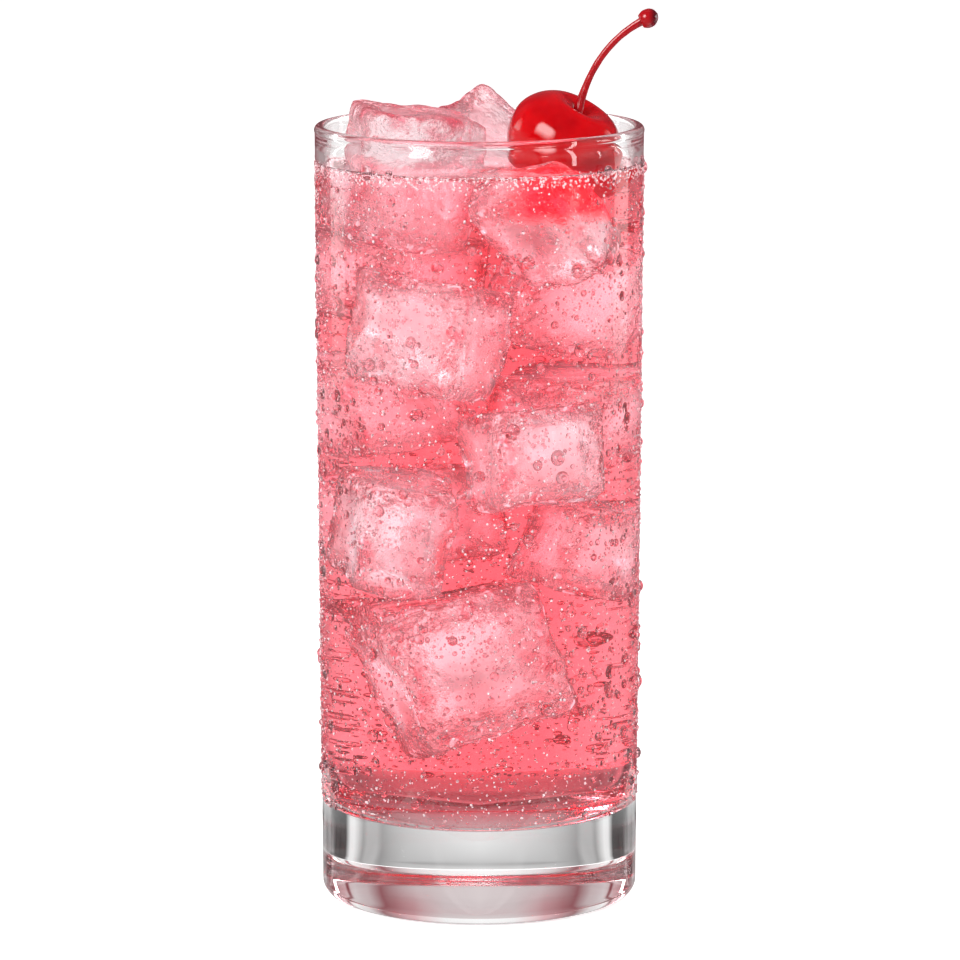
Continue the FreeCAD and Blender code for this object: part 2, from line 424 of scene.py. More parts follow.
# The wet ice's pink is partly the drink's film on it and partly painted reflection of the drink.
ice_material = clear_ice("wet_ice", (1.0, 0.82, 0.85, 1), (0.80, 0.14, 0.20, 1), 0.75)
sunk_ice_material = clear_ice("sunk_ice", (1.0, 0.98, 0.98, 1), (0.85, 0.22, 0.28, 1), 0.18)
top_cubes = {
    "ice_left": ice_shape((25, 18, 27), (-13.6, -7.0, 145.0), (16, 9, -2), 1),
    "ice_back": ice_shape((20, 20, 18), (0.6, 14.4, 146.9), (-27, 21, -25), 2),
    "ice_front": ice_shape((12, 20, 24), (11.9, -14.5, 136.6), (60, -33, -26), 3, 0.3),
}
hollows = []
for node, bm in top_cubes.items():
    cube = add_piece(node + "_cube", mesh_of(node + "_cube", bm))
    cube.data.materials.append(sunk_ice_material if node == "ice_front" else ice_material)
    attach(cube, "root")
    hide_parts(node)
    hollows.append(shrunk_copy(bm, node + "_hollow", SEAT))
    bm.free()

# Size, middle, and angles (turned, leaning right, leaning back) of each cube under the surface.
sunk_places = [
    ((24, 19, 23), (-9.4, -12.6, 114.8), (-31.2, 11.4, 5.6)),
    ((23, 19, 20), (9.9, -12.6, 91.2), (27.4, -7.0, 7.4)),
    ((19, 18, 23), (-14.7, -9.1, 75.6), (13.1, 7.0, -10.7)),
    ((29, 22, 28), (-1.6, -6.2, 47.7), (14.0, -21.0, 8.0)),
    ((21, 18, 23), (13.1, 7.8, 120.2), (16.9, 17.1, 9.2)),
    ((20, 18, 20), (-11.5, 15.1, 124.5), (36.8, 12.4, 11.3)),
    ((20, 17, 20), (-12.6, 9.6, 99.1), (14.2, -17.1, 2.1)),
    ((19, 18, 19), (11.7, 13.2, 95.7), (-21.1, 5.6, -10.4)),
    ((20, 17, 20), (-8.2, 14.7, 75.3), (20.0, -10.0, 5.0)),
    ((17, 17, 19), (15.8, 6.3, 70.2), (32.7, 19.2, 3.4)),
    ((20, 14, 20), (-3.0, 18.0, 50.0), (5.0, -15.0, 0.0)),
]
sunk_hollows = []
sunk = bmesh.new()
for number, (size, middle, angles) in enumerate(sunk_places):
    bm = ice_shape(size, middle, angles, 10 + number)
    sunk_hollows.append(shrunk_copy(bm, "sunk_hollow", SEAT))
    sunk.from_mesh(mesh_of("sunk_cube", bm))
    bm.free()
sunk_ice = add_piece("ice_sunk", mesh_of("ice_sunk", sunk))
sunk.free()
sunk_ice.data.materials.append(sunk_ice_material)
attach(sunk_ice, "root")
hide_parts("drink")


# --- The cherry -----------------------------------------------------------------------------
# A stoned cocktail cherry in syrup, dyed bright red: two full shoulders round a dimple, a faint
# seam down its side and a taut glossy skin. It rests on the ice against the wall.
CHERRY_TOP = 7.5 * MM
CHERRY_BOTTOM = 10.9 * MM
DIMPLE_DEPTH = 2.4 * MM
DIMPLE_LIP = 4.5 * MM
SHOULDER_SWELL = 0.4 * MM
CHERRY_LOBES = 0.018
CHERRY_SEAM = 0.007
SEAM_WIDTH = 0.05
SEAM_TURN = 2.1
CHERRY_DENTS = 0.012
CHERRY_LEANS_RIGHT = 27
CHERRY_LEANS_FORWARD = 12
DIMPLE_STEPS = 14
SHOULDER_STEPS = 22
BELLY_STEPS = 30
CHERRY_SIDES = 112
CHERRY_RED = (0.47, 0.001, 0.003, 1)
CHERRY_DARK = (0.31, 0.0, 0.002, 1)
# Colour of the cherry's painted glow under the drink.
PAINTED_SUNK_GLOW = (1.0, 0.02, 0.05, 1)
cherry_spin = (Matrix.Rotation(math.radians(CHERRY_LEANS_RIGHT), 3, "Y")
               @ Matrix.Rotation(math.radians(CHERRY_LEANS_FORWARD), 3, "X"))


def bezier(points, steps):
    """Points of a cubic curve through its first and last control point, without the first."""
    p0, p1, p2, p3 = (Vector(p) for p in points)
    curve = []
    for i in range(1, steps + 1):
        t = i / steps
        curve.append(p0 * (1 - t) ** 3 + p1 * 3 * t * (1 - t) ** 2 + p2 * 3 * t * t * (1 - t) + p3 * t ** 3)
    return curve


lip = (DIMPLE_LIP, CHERRY_TOP)
waist = (CHERRY_RADIUS, 0)
tip = (0, -CHERRY_BOTTOM)
dimple = (0, CHERRY_TOP - DIMPLE_DEPTH)
dimple_pulls = [(DIMPLE_LIP * 0.2, dimple[1]), (DIMPLE_LIP * 0.35, lip[1])]
shoulder_pulls = [(lip[0] + (waist[0] - lip[0]) * 0.55, lip[1]), (waist[0], CHERRY_TOP * 0.58)]
belly_pulls = [(waist[0], -CHERRY_BOTTOM * 0.56), (waist[0] * 0.52, tip[1])]
fruit_outline = [Vector(dimple)]
fruit_outline += bezier([dimple] + dimple_pulls + [lip], DIMPLE_STEPS)
fruit_outline += bezier([lip] + shoulder_pulls + [waist], SHOULDER_STEPS)
fruit_outline += bezier([waist] + belly_pulls + [tip], BELLY_STEPS)
fruit_outline[-1].x = 0
cherry = turn("cherry_fruit", [tuple(p) for p in fruit_outline], CHERRY_SIDES)
for vert in cherry.data.vertices:
    around = math.atan2(vert.co.y, vert.co.x)
    height = vert.co.z / CHERRY_TOP
    radius = math.hypot(vert.co.x, vert.co.y) / CHERRY_RADIUS
    lobes = CHERRY_LOBES * math.cos(2 * around + 0.5) * radius
    seam = -CHERRY_SEAM * math.exp(-(math.sin((around + SEAM_TURN) / 2) / SEAM_WIDTH) ** 2) * radius
    dents = CHERRY_DENTS * noise.noise(vert.co * 260) * radius
    side = 1 - CHERRY_DENTS + lobes + seam + dents
    shoulder = SHOULDER_SWELL * math.exp(-((radius - 0.5) / 0.25) ** 2) * max(0, height)
    place = Vector((vert.co.x * side, vert.co.y * side, vert.co.z + shoulder))
    vert.co = cherry_spin @ place + cherry_middle


def cherry_skin():
    """Bright red skin, darker where the dye took more, and glossy with syrup out of the drink. Under the
    drink it has a painted red glow.
    """
    material, tree, shader = new_material("cherry_skin", {
        "Emission Strength": 0.4, "Roughness": 0.22, "Specular IOR Level": 0.1, "Coat Roughness": 0.02,
        "Subsurface Weight": 0.5, "Subsurface Radius": (1.0, 0.05, 0.05), "Subsurface Scale": 0.006})
    z = axes(tree)[2]
    uneven = ramp(tree, object_noise(tree, 130, 4), 0.45, 0.75, 0, 1)
    tree.links.new(mix_colours(tree, uneven, CHERRY_RED, CHERRY_DARK), shader.inputs["Base Color"])
    # Painted light: a red glow on the part under the drink's level.
    above = ramp(tree, z, DRINK_LEVEL - 1 * MM, DRINK_LEVEL + 2 * MM, 0, 1)
    tree.links.new(mix_colours(tree, above, PAINTED_SUNK_GLOW, BLACK), shader.inputs["Emission Color"])
    syrup = ramp(tree, z, GLASS_HEIGHT - 5 * MM, GLASS_HEIGHT - 3 * MM, 0.04, 1)
    tree.links.new(syrup, shader.inputs["Coat Weight"])
    add_bump(tree, shader, object_noise(tree, 420, 2), 0.12, 0.12 * MM)
    return material


cherry.data.materials.append(cherry_skin())
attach(cherry, "root")
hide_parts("cherry")
fruit = bmesh.new()
fruit.from_mesh(cherry.data)
hollows.append(shrunk_copy(fruit, "cherry_hollow", SEAT))
fruit.free()


# --- The cherry's stem ----------------------------------------------------------------------
# The fruit's own stalk, dyed with it: thick where it leaves the dimple, thin and curved above,
# and swelling into the dark, pitted knob where it was picked from the branch.
STEM_RADIUS = 0.65 * MM
ROOT_FLARE = 0.55 * MM
NECK_FLARE = 0.3 * MM
STEM_UNEVENNESS = 0.05 * MM
ROOT_DEPTH = 1.2 * MM
ROOT_ANGLE = 79
NECK_ANGLE = 25
STEM_GROOVES = 0.07
KNOB_LUMPS = 0.07
STEM_SIDES = 20
STEM_STEPS = 60
KNOB_LENGTH = 2.05 * MM
KNOB_RADIUS = 1.9 * MM
KNOB_STEPS = 16
KNOB_START = -58
KNOB_SWEEP = 148
STEM_RED = (0.32, 0.001, 0.004, 1)
KNOB_DARK = (0.035, 0.0, 0.002, 1)


def leaning(angle):
    """A direction in the stem's plane, at an angle in degrees above the right."""
    return Vector((math.cos(math.radians(angle)), 0, math.sin(math.radians(angle))))


def stem_thickness(along):
    """Radius of the stem, from its root at 0 to the middle of the knob at 1."""
    root = ROOT_FLARE * max(0, 1 - along * 3.2) ** 2
    neck = NECK_FLARE * max(0, along * 3.2 - 2.2) ** 2
    return STEM_RADIUS + root + neck + STEM_UNEVENNESS * noise.noise(Vector((along * 14, 3, 1)))


def stem_ring(bm, middle, way, radius_at):
    """Vertices round the stem, square to its way. The radius may change with the angle."""
    side = way.cross(Vector((0, 1, 0))).normalized()
    front = side.cross(way).normalized()
    ring = []
    for k in range(STEM_SIDES):
        a = 2 * math.pi * k / STEM_SIDES
        offset = (side * math.cos(a) + front * math.sin(a)) * radius_at(a)
        ring.append(bm.verts.new(middle + offset))
    return ring


mouth = cherry_spin @ Vector((0, 0, CHERRY_TOP - DIMPLE_DEPTH)) + cherry_middle
knob_middle = mouth + Vector((13.8, -1.0, 19.8)) * MM
root_pull = mouth + leaning(ROOT_ANGLE) * 11 * MM
knob_pull = knob_middle - leaning(NECK_ANGLE) * 7 * MM
stem_line = [mouth - leaning(ROOT_ANGLE) * ROOT_DEPTH, mouth]
stem_line += bezier([mouth, root_pull, knob_pull, knob_middle], STEM_STEPS)
stem_bm = bmesh.new()
rings = []
for i, point in enumerate(stem_line):
    way = stem_line[min(i + 1, len(stem_line) - 1)] - stem_line[max(i - 1, 0)]
    along = max(0, i - 1) / STEM_STEPS
    thickness = stem_thickness(along)
    rings.append(stem_ring(stem_bm, point, way,
                           lambda a: thickness * (1 + STEM_GROOVES * math.cos(3 * a + along * 2))))
last_way = (stem_line[-1] - stem_line[-2]).normalized()


def knob_radius_at(a, rise):
    """Radius of the knob, which is lumpy, at an angle round it and a rise from its waist."""
    lump = 1 + KNOB_LUMPS * noise.noise(Vector((math.cos(a) * 1.5, math.sin(a) * 1.5, rise * 2)))
    return KNOB_RADIUS * math.cos(rise) * lump


for i in range(1, KNOB_STEPS):
    rise = math.radians(KNOB_START + KNOB_SWEEP * i / KNOB_STEPS)
    middle = knob_middle + last_way * KNOB_LENGTH * math.sin(rise)
    rings.append(stem_ring(stem_bm, middle, last_way, lambda a: knob_radius_at(a, rise)))
for lower, upper in zip(rings, rings[1:]):
    for k in range(STEM_SIDES):
        j = (k + 1) % STEM_SIDES
        stem_bm.faces.new((lower[k], lower[j], upper[j], upper[k]))
for ring, way in ((rings[0], -1), (rings[-1], 1)):
    middle = sum((v.co for v in ring), Vector()) / STEM_SIDES
    pole = stem_bm.verts.new(middle + last_way * (KNOB_LENGTH * 0.04 if way > 0 else 0))
    for k in range(STEM_SIDES):
        stem_bm.faces.new((ring[k], ring[(k + 1) % STEM_SIDES], pole))
bmesh.ops.recalc_face_normals(stem_bm, faces=stem_bm.faces)
stem = add_piece("cherry_stalk", mesh_of("cherry_stalk", stem_bm))
stem_bm.free()


def stem_skin():
    """Wet deep red stalk, streaked along its length, near black and pitted at the knob's end."""
    material, tree, shader = new_material("stem_skin", {
        "Roughness": 0.25, "Coat Weight": 0.8, "Coat Roughness": 0.06})
    x = axes(tree)[0]
    knob_end = ramp(tree, x, knob_middle.x + 0.1 * MM, knob_middle.x + 1.2 * MM, 0, 0.9)
    streaks = ramp(tree, object_noise(tree, 700, 3, (1, 1, 0.3)), 0.5, 0.8, 0, 0.5)
    darker = mathematics(tree, "MAXIMUM", knob_end, streaks)
    tree.links.new(mix_colours(tree, darker, STEM_RED, KNOB_DARK), shader.inputs["Base Color"])
    add_bump(tree, shader, object_noise(tree, 1500, 3), 0.4, 0.15 * MM)
    return material


stem.data.materials.append(stem_skin())
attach(stem, "root")
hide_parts("cherry_stem")


# --- Water on the outside of the glass -------------------------------------------------------
# Condensation: fine mist, specks, beads and a few large drops that have run together, on the cold
# wall from just above the floor of the drink up to its level. Each drop is a flat-backed dome.
def scatter_tree(name):
    """Geometry Nodes that scatter round bodies over a surface, larger ones more rarely."""
    tree = bpy.data.node_groups.new(name, "GeometryNodeTree")
    tree.interface.new_socket("Geometry", in_out="OUTPUT", socket_type="NodeSocketGeometry")
    tree.interface.new_socket("Surface", in_out="INPUT", socket_type="NodeSocketGeometry")
    sizes = ("Density", "Smallest", "Largest", "Rarity", "Height", "Back", "Lift", "Reach", "Clearance",
             "Ceiling", "Unevenness")
    for socket in sizes:
        tree.interface.new_socket(socket, in_out="INPUT", socket_type="NodeSocketFloat")
    others = (("Roundness", "Int"), ("Seed", "Int"), ("Obstacles", "Object"), ("Material", "Material"))
    for socket, kind in others:
        tree.interface.new_socket(socket, in_out="INPUT", socket_type="NodeSocket" + kind)
    nodes = tree.nodes
    links = tree.links
    given = nodes.new("NodeGroupInput").outputs

    def math_node(operation, first, second):
        return mathematics(tree, operation, first, second)

    def place_axes():
        position = nodes.new("GeometryNodeInputPosition")
        split = nodes.new("ShaderNodeSeparateXYZ")
        links.new(position.outputs["Position"], split.inputs["Vector"])
        return [split.outputs[axis] for axis in "XYZ"]

    def remember(geometry, name, kind, value):
        """Stores a value on each point, and gives the points and the value as it was stored."""
        store = nodes.new("GeometryNodeStoreNamedAttribute")
        store.data_type = kind
        store.inputs["Name"].default_value = name
        links.new(geometry, store.inputs["Geometry"])
        links.new(value, store.inputs["Value"])
        field = nodes.new("GeometryNodeInputNamedAttribute")
        field.data_type = kind
        field.inputs["Name"].default_value = name
        return store.outputs["Geometry"], field.outputs["Attribute"]

    points = nodes.new("GeometryNodeDistributePointsOnFaces")
    links.new(given["Surface"], points.inputs["Mesh"])
    patches = nodes.new("ShaderNodeTexNoise")
    patches.inputs["Scale"].default_value = 70
    uneven = math_node("MULTIPLY", math_node("SUBTRACT", patches.outputs["Fac"], 0.5), given["Unevenness"])
    patchy = math_node("MAXIMUM", math_node("ADD", uneven, 1.0), 0.0)
    density = math_node("MULTIPLY", given["Density"], patchy)
    links.new(density, points.inputs["Density"])
    links.new(given["Seed"], points.inputs["Seed"])
    chance = nodes.new("FunctionNodeRandomValue")
    links.new(given["Seed"], chance.inputs["Seed"])
    share = math_node("POWER", chance.outputs[1], given["Rarity"])
    spread = math_node("MULTIPLY", math_node("SUBTRACT", given["Largest"], given["Smallest"]), share)
    radius = math_node("ADD", given["Smallest"], spread)
    sized, size = remember(points.outputs["Points"], "drop_radius", "FLOAT", radius)
    ready, way = remember(sized, "drop_way", "FLOAT_VECTOR", points.outputs["Normal"])
    lift = nodes.new("ShaderNodeVectorMath")
    lift.operation = "SCALE"
    links.new(way, lift.inputs["Vector"])
    links.new(math_node("MULTIPLY", given["Lift"], size), lift.inputs["Scale"])
    lifted = nodes.new("GeometryNodeSetPosition")
    links.new(ready, lifted.inputs["Geometry"])
    links.new(lift.outputs["Vector"], lifted.inputs["Offset"])
    obstacles = nodes.new("GeometryNodeObjectInfo")
    links.new(given["Obstacles"], obstacles.inputs["Object"])
    nearest = nodes.new("GeometryNodeProximity")
    links.new(obstacles.outputs["Geometry"], nearest.inputs[0])
    blocked = nodes.new("GeometryNodeDeleteGeometry")
    blocked.domain = "POINT"
    links.new(lifted.outputs["Geometry"], blocked.inputs["Geometry"])
    needed = math_node("MULTIPLY", size, given["Clearance"])
    too_near = math_node("LESS_THAN", nearest.outputs["Distance"], needed)
    too_high = math_node("GREATER_THAN", place_axes()[2], given["Ceiling"])
    links.new(math_node("MAXIMUM", too_near, too_high), blocked.inputs["Selection"])

    ball = nodes.new("GeometryNodeMeshIcoSphere")
    ball.inputs["Radius"].default_value = 1
    links.new(given["Roundness"], ball.inputs["Subdivisions"])
    corner_x, corner_y, corner_z = place_axes()
    join = nodes.new("ShaderNodeCombineXYZ")
    links.new(corner_x, join.inputs["X"])
    links.new(corner_y, join.inputs["Y"])
    links.new(math_node("MAXIMUM", corner_z, given["Back"]), join.inputs["Z"])
    dome = nodes.new("GeometryNodeSetPosition")
    links.new(ball.outputs["Mesh"], dome.inputs["Geometry"])
    links.new(join.outputs["Vector"], dome.inputs["Position"])

    x, y, _ = place_axes()
    squares = math_node("ADD", math_node("MULTIPLY", x, x), math_node("MULTIPLY", y, y))
    from_axis = math_node("SQRT", squares, 0)
    farthest = math_node("MAXIMUM", math_node("ABSOLUTE", y, 0), math_node("MULTIPLY", x, -1))
    room = math_node("DIVIDE", given["Reach"], math_node("MAXIMUM", farthest, 0.01))
    tallest = math_node("MULTIPLY", from_axis, math_node("SUBTRACT", room, 1.0))
    height = math_node("MINIMUM", math_node("MULTIPLY", size, given["Height"]), tallest)
    scale = nodes.new("ShaderNodeCombineXYZ")
    longer = nodes.new("FunctionNodeRandomValue")
    longer.inputs[2].default_value = 0.92
    longer.inputs[3].default_value = 1.18
    links.new(size, scale.inputs["X"])
    links.new(math_node("MULTIPLY", size, longer.outputs[1]), scale.inputs["Y"])
    links.new(height, scale.inputs["Z"])
    stand = nodes.new("FunctionNodeAlignRotationToVector")
    stand.axis = "Z"
    links.new(way, stand.inputs["Vector"])
    hang = nodes.new("FunctionNodeAlignRotationToVector")
    hang.axis = "Y"
    hang.pivot_axis = "Z"
    hang.inputs["Vector"].default_value = (0, 0, 1)
    links.new(stand.outputs["Rotation"], hang.inputs["Rotation"])
    copies = nodes.new("GeometryNodeInstanceOnPoints")
    links.new(blocked.outputs["Geometry"], copies.inputs["Points"])
    links.new(dome.outputs["Geometry"], copies.inputs["Instance"])
    links.new(hang.outputs["Rotation"], copies.inputs["Rotation"])
    links.new(scale.outputs["Vector"], copies.inputs["Scale"])
    real = nodes.new("GeometryNodeRealizeInstances")
    links.new(copies.outputs["Instances"], real.inputs["Geometry"])
    paint = nodes.new("GeometryNodeSetMaterial")
    links.new(real.outputs["Geometry"], paint.inputs["Geometry"])
    links.new(given["Material"], paint.inputs["Material"])
    links.new(paint.outputs["Geometry"], nodes.new("NodeGroupOutput").inputs["Geometry"])
    return tree


def scattered(name, surface, **settings):
    """A plain mesh of what the scatter tree makes over a surface mesh."""
    carrier = bpy.data.objects.new(name, surface)
    bpy.context.scene.collection.objects.link(carrier)
    modifier = carrier.modifiers.new("scatter", "NODES")
    modifier.node_group = SCATTER
    for socket in SCATTER.interface.items_tree:
        if socket.in_out == "INPUT" and socket.name in settings:
            modifier[socket.identifier] = settings[socket.name]
    evaluated = carrier.evaluated_get(bpy.context.evaluated_depsgraph_get())
    mesh = bpy.data.meshes.new_from_object(evaluated)
    bpy.data.objects.remove(carrier)
    for attribute in ("drop_radius", "drop_way"):
        if attribute in mesh.attributes:
            mesh.attributes.remove(mesh.attributes[attribute])
    return mesh


SCATTER = scatter_tree("scatter_round")
MIST_BOTTOM = 19.5 * MM
MIST_TOP = DRINK_LEVEL + 1.5 * MM
REACH = RIM_RADIUS - 0.02 * MM


def band_round(profile, sides, inwards):
    """A strip round the axis through (radius, height) points, with its faces inwards or outwards."""
    bm = bmesh.new()
    rings = [ring_round(bm, radius, height, sides) for radius, height in profile]
    for lower, upper in zip(rings, rings[1:]):
        for k in range(sides):
            j = (k + 1) % sides
            if inwards:
                bm.faces.new((lower[k], upper[k], upper[j], lower[j]))
            else:
                bm.faces.new((lower[k], lower[j], upper[j], upper[k]))
    mesh = mesh_of("band", bm)
    bm.free()
    return mesh


def clear_water(name, clearness):
    """Clean water, as it condenses out of the air. The finest of it looks white."""
    material, tree, shader = new_material(name, {
        "Base Color": (1, 0.8, 0.83, 1), "Roughness": 0, "IOR": 1.33})
    cleared = ramp(tree, object_noise(tree, 900, 1), 0.5, 0.6, 1.0, clearness)
    tree.links.new(cleared, shader.inputs["Transmission Weight"])
    return material


mist_water = clear_water("mist_water", 0.38)
drop_water = clear_water("drop_water", 1.0)
misted_wall = band_round([(outer_radius(z), z) for z in (MIST_BOTTOM, MIST_TOP)], GLASS_SIDES, False)
# Name, water, drops per square metre, smallest and largest radius in mm, rarity, height, roundness
# and seed.
for name, water, density, smallest, largest, rarity, height, roundness, seed in (
        ("mist_on_glass", mist_water, 340000, 0.13, 0.28, 1.4, 1.0, 1, 5),
        ("specks_on_glass", mist_water, 340000, 0.15, 0.36, 1.8, 1.0, 1, 11),
        ("beads_on_glass", drop_water, 70000, 0.28, 0.65, 3.0, 0.85, 2, 6),
        ("drops_on_glass", drop_water, 9000, 0.7, 1.4, 2.0, 0.8, 3, 7)):
    settings = {"Density": density, "Smallest": smallest * MM, "Largest": largest * MM, "Rarity": rarity,
                "Height": height, "Back": -0.12, "Lift": 0.0, "Reach": REACH, "Clearance": 0.0,
                "Ceiling": 1.0, "Unevenness": 2.2, "Roundness": roundness, "Seed": seed, "Material": water}
    drops = add_piece(name, scattered(name + "_surface", misted_wall, **settings))
    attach(drops, "root")
    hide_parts("glass")


# --- The drink ------------------------------------------------------------------------------
# Clear pink lemonade and soda, poured round the ice. It wets the glass, so it reaches just into
# the wall with no air between, and climbs a little up the wall, the ice and the cherry.
WET_IN = 0.06 * MM
CONTACT_RISE = 0.9 * MM
CONTACT_REACH = 0.55 * MM
SWELL = 0.12 * MM
SURFACE_RINGS = 56
DRINK_WALL_STEPS = 16
DRINK_SIDES = 192
DRINK_IOR = 1.34
DRINK_COLOUR = (0.97, 0.0, 0.12, 1)
DRINK_DENSITY = 40.0
LEVEL_TOLERANCE = 0.001 * MM
contact = DRINK_LEVEL + CONTACT_RISE
edge_radius = inner_radius(contact) + WET_IN
drink_outline = inside_outline(WET_IN)
drink_outline += straight(drink_outline[-1], (edge_radius, contact), DRINK_WALL_STEPS)
drink_outline += [(edge_radius, contact)]
for i in range(1, SURFACE_RINGS):
    drink_outline.append((edge_radius * (1 - (i / SURFACE_RINGS) ** 1.25), DRINK_LEVEL))
drink_outline.append((0, DRINK_LEVEL))
drink = turn("drink_pool", drink_outline, DRINK_SIDES)

garnish = []
for mesh in hollows:
    garnish.append(BVHTree.FromPolygons([v.co for v in mesh.vertices], [p.vertices for p in mesh.polygons]))
for vert in drink.data.vertices:
    if vert.co.z < DRINK_LEVEL - LEVEL_TOLERANCE or vert.co.z > contact - LEVEL_TOLERANCE:
        continue
    gaps = [edge_radius - math.hypot(vert.co.x, vert.co.y)]
    gaps += [piece.find_nearest(vert.co)[3] for piece in garnish]
    rise = sum(math.exp(-gap / CONTACT_REACH) for gap in gaps)
    swell = SWELL * noise.noise(vert.co * 130)
    vert.co.z += CONTACT_RISE * min(1, rise) + swell * min(1, min(gaps) / MM)

for mesh in hollows:
    cutter = bpy.data.objects.new("hollow", mesh)
    bpy.context.scene.collection.objects.link(cutter)
    cut = drink.modifiers.new("hollow", "BOOLEAN")
    cut.operation = "DIFFERENCE"
    cut.solver = "EXACT"
    cut.object = cutter
    evaluated = drink.evaluated_get(bpy.context.evaluated_depsgraph_get())
    result = bpy.data.meshes.new_from_object(evaluated)
    drink.modifiers.clear()
    drink.data = result
    bpy.data.objects.remove(cutter)

pool = bmesh.new()
pool.from_mesh(drink.data)
for mesh in sunk_hollows:
    inside_out = mesh.copy()
    inside_out.flip_normals()
    pool.from_mesh(inside_out)
pool.to_mesh(drink.data)
pool.free()
drink.data.shade_smooth()
drink.data.set_sharp_from_angle(angle=math.radians(50))


def pink_drink():
    """Clear liquid that takes green and blue out of the light, the more the deeper it is."""
    material, tree, shader = new_material("pink_drink", {
        "Base Color": WHITE, "Transmission Weight": 1, "Roughness": 0, "IOR": DRINK_IOR})
    depth = tree.nodes.new("ShaderNodeVolumeAbsorption")
    depth.inputs["Color"].default_value = DRINK_COLOUR
    depth.inputs["Density"].default_value = DRINK_DENSITY
    tree.links.new(depth.outputs["Volume"], tree.nodes["Material Output"].inputs["Volume"])
    return material


drink.data.materials.clear()
drink.data.materials.append(pink_drink())
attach(drink, "root")
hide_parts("drink")


# --- The bubbles in the drink ---------------------------------------------------------------
# Gas from the soda: fine bubbles on the ice, single and large ones on the inside of the wall, and
# froth where the drink meets the wall. Each is a clear bead that keeps off the ice.
COLLAR_SIDES = 96
WALL_BAND_SIDES = 128
WALL_BAND_BOTTOM = 26 * MM
WALL_BAND_TOP = DRINK_LEVEL - 3 * MM
SUNK_CEILING = DRINK_LEVEL - 0.6 * MM
FROTH_CEILING = DRINK_LEVEL + 2.0 * MM
ice_and_cherry = bmesh.new()
for mesh in sunk_hollows + hollows:
    ice_and_cherry.from_mesh(mesh)
ice_surface = mesh_of("ice_surface", ice_and_cherry)
ice_and_cherry.free()
in_the_way = bpy.data.objects.new("in_the_way", ice_surface)
bpy.context.scene.collection.objects.link(in_the_way)
collar = band_round([(edge_radius - 1.5 * MM, DRINK_LEVEL + 0.15 * MM),
                     (edge_radius - 0.55 * MM, DRINK_LEVEL + 0.5 * MM),
                     (edge_radius - 0.35 * MM, DRINK_LEVEL - 0.4 * MM),
                     (edge_radius - 0.40 * MM, DRINK_LEVEL - 1.7 * MM)], COLLAR_SIDES, True)
wall_inside_band = band_round([(inner_radius(z), z) for z in (WALL_BAND_BOTTOM, WALL_BAND_TOP)],
                              WALL_BAND_SIDES, True)


def clear_bubble(name, colour, ior):
    """A clear bead that bends the light enough to show its outline in the drink."""
    return new_material(name, {
        "Transmission Weight": 1, "Base Color": colour, "Roughness": 0, "IOR": ior})[0]


def froth_skin():
    """The milky pink of many small bubbles pressed together, with a painted pink glow."""
    # Painted light: the froth's emission is a pink glow.
    return new_material("froth", {
        "Transmission Weight": 0.25, "Base Color": (1, 0.93, 0.94, 1), "Roughness": 0.1, "IOR": 1.33,
        "Emission Color": (1, 0.72, 0.76, 1), "Emission Strength": 0.32})[0]


air_bubble = clear_bubble("air_bubble", (1, 0.88, 0.9, 1), 1.42)
large_bubble = clear_bubble("large_bubble", (1, 0.82, 0.85, 1), 1.62)
froth = froth_skin()
# Name, surface, material, ceiling, bubbles per square metre, smallest and largest radius in mm,
# rarity, lift and roundness.
for name, surface, material, ceiling, density, smallest, largest, rarity, lift, roundness in (
        ("bubbles_on_ice", ice_surface, air_bubble, SUNK_CEILING, 260000, 0.14, 0.46, 2.5, 1.15, 1),
        ("bubbles_at_level", collar, froth, FROTH_CEILING, 2100000, 0.11, 0.34, 1.3, 0.0, 1),
        ("bubbles_on_wall", wall_inside_band, air_bubble, SUNK_CEILING, 45000, 0.22, 0.70, 3.0, 1.08, 2),
        ("bubbles_large", wall_inside_band, large_bubble, SUNK_CEILING, 7000, 0.7, 1.5, 1.8, 1.08, 3)):
    settings = {"Density": density, "Smallest": smallest * MM, "Largest": largest * MM, "Rarity": rarity,
                "Height": 1.0, "Back": -1.0, "Lift": lift, "Reach": 1.0, "Clearance": 1.06,
                "Ceiling": ceiling, "Unevenness": 1.5, "Roundness": roundness, "Seed": 9,
                "Obstacles": in_the_way, "Material": material}
    bubbles = add_piece(name, scattered(name + "_surface", surface, **settings))
    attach(bubbles, "root")
    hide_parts("drink")
bpy.data.objects.remove(in_the_way)


# --- The floor, the light and the camera ----------------------------------------------------
# A wide white table top, one large soft lamp in front on the left, a narrow one on the right,
# and even white light all round, so that the drink is lit through from behind.
FLOOR_Z = -0.1 * MM
FLOOR_HALF = 12
CARD_Z = -0.05 * MM
CARD_HALF = 0.1
# Pink painted on the floor where it is dim, standing for the drink's light.
PAINTED_FLOOR_PINK = (0.30, 0.07, 0.09, 1)
SKY_PINK = (0.22, 0.02, 0.035, 1)


def shades(tree, source, stops):
    """Grey levels along a source: pairs of position and level."""
    node = tree.nodes.new("ShaderNodeValToRGB")
    elements = node.color_ramp.elements
    for place, level in stops[1:-1]:
        elements.new(place).color = (level, level, level, 1)
    for element, (place, level) in ((elements[0], stops[0]), (elements[-1], stops[-1])):
        element.position = place
        element.color = (level, level, level, 1)
    tree.links.new(source, node.inputs["Fac"])
    return node.outputs["Color"]


def mix_levels(tree, factor, first, second):
    """The first level where the factor is 0, the second where it is 1."""
    node = tree.nodes.new("ShaderNodeMix")
    feed(tree, node.inputs["Factor"], factor)
    feed(tree, node.inputs["A"], first)
    feed(tree, node.inputs["B"], second)
    return node.outputs["Result"]


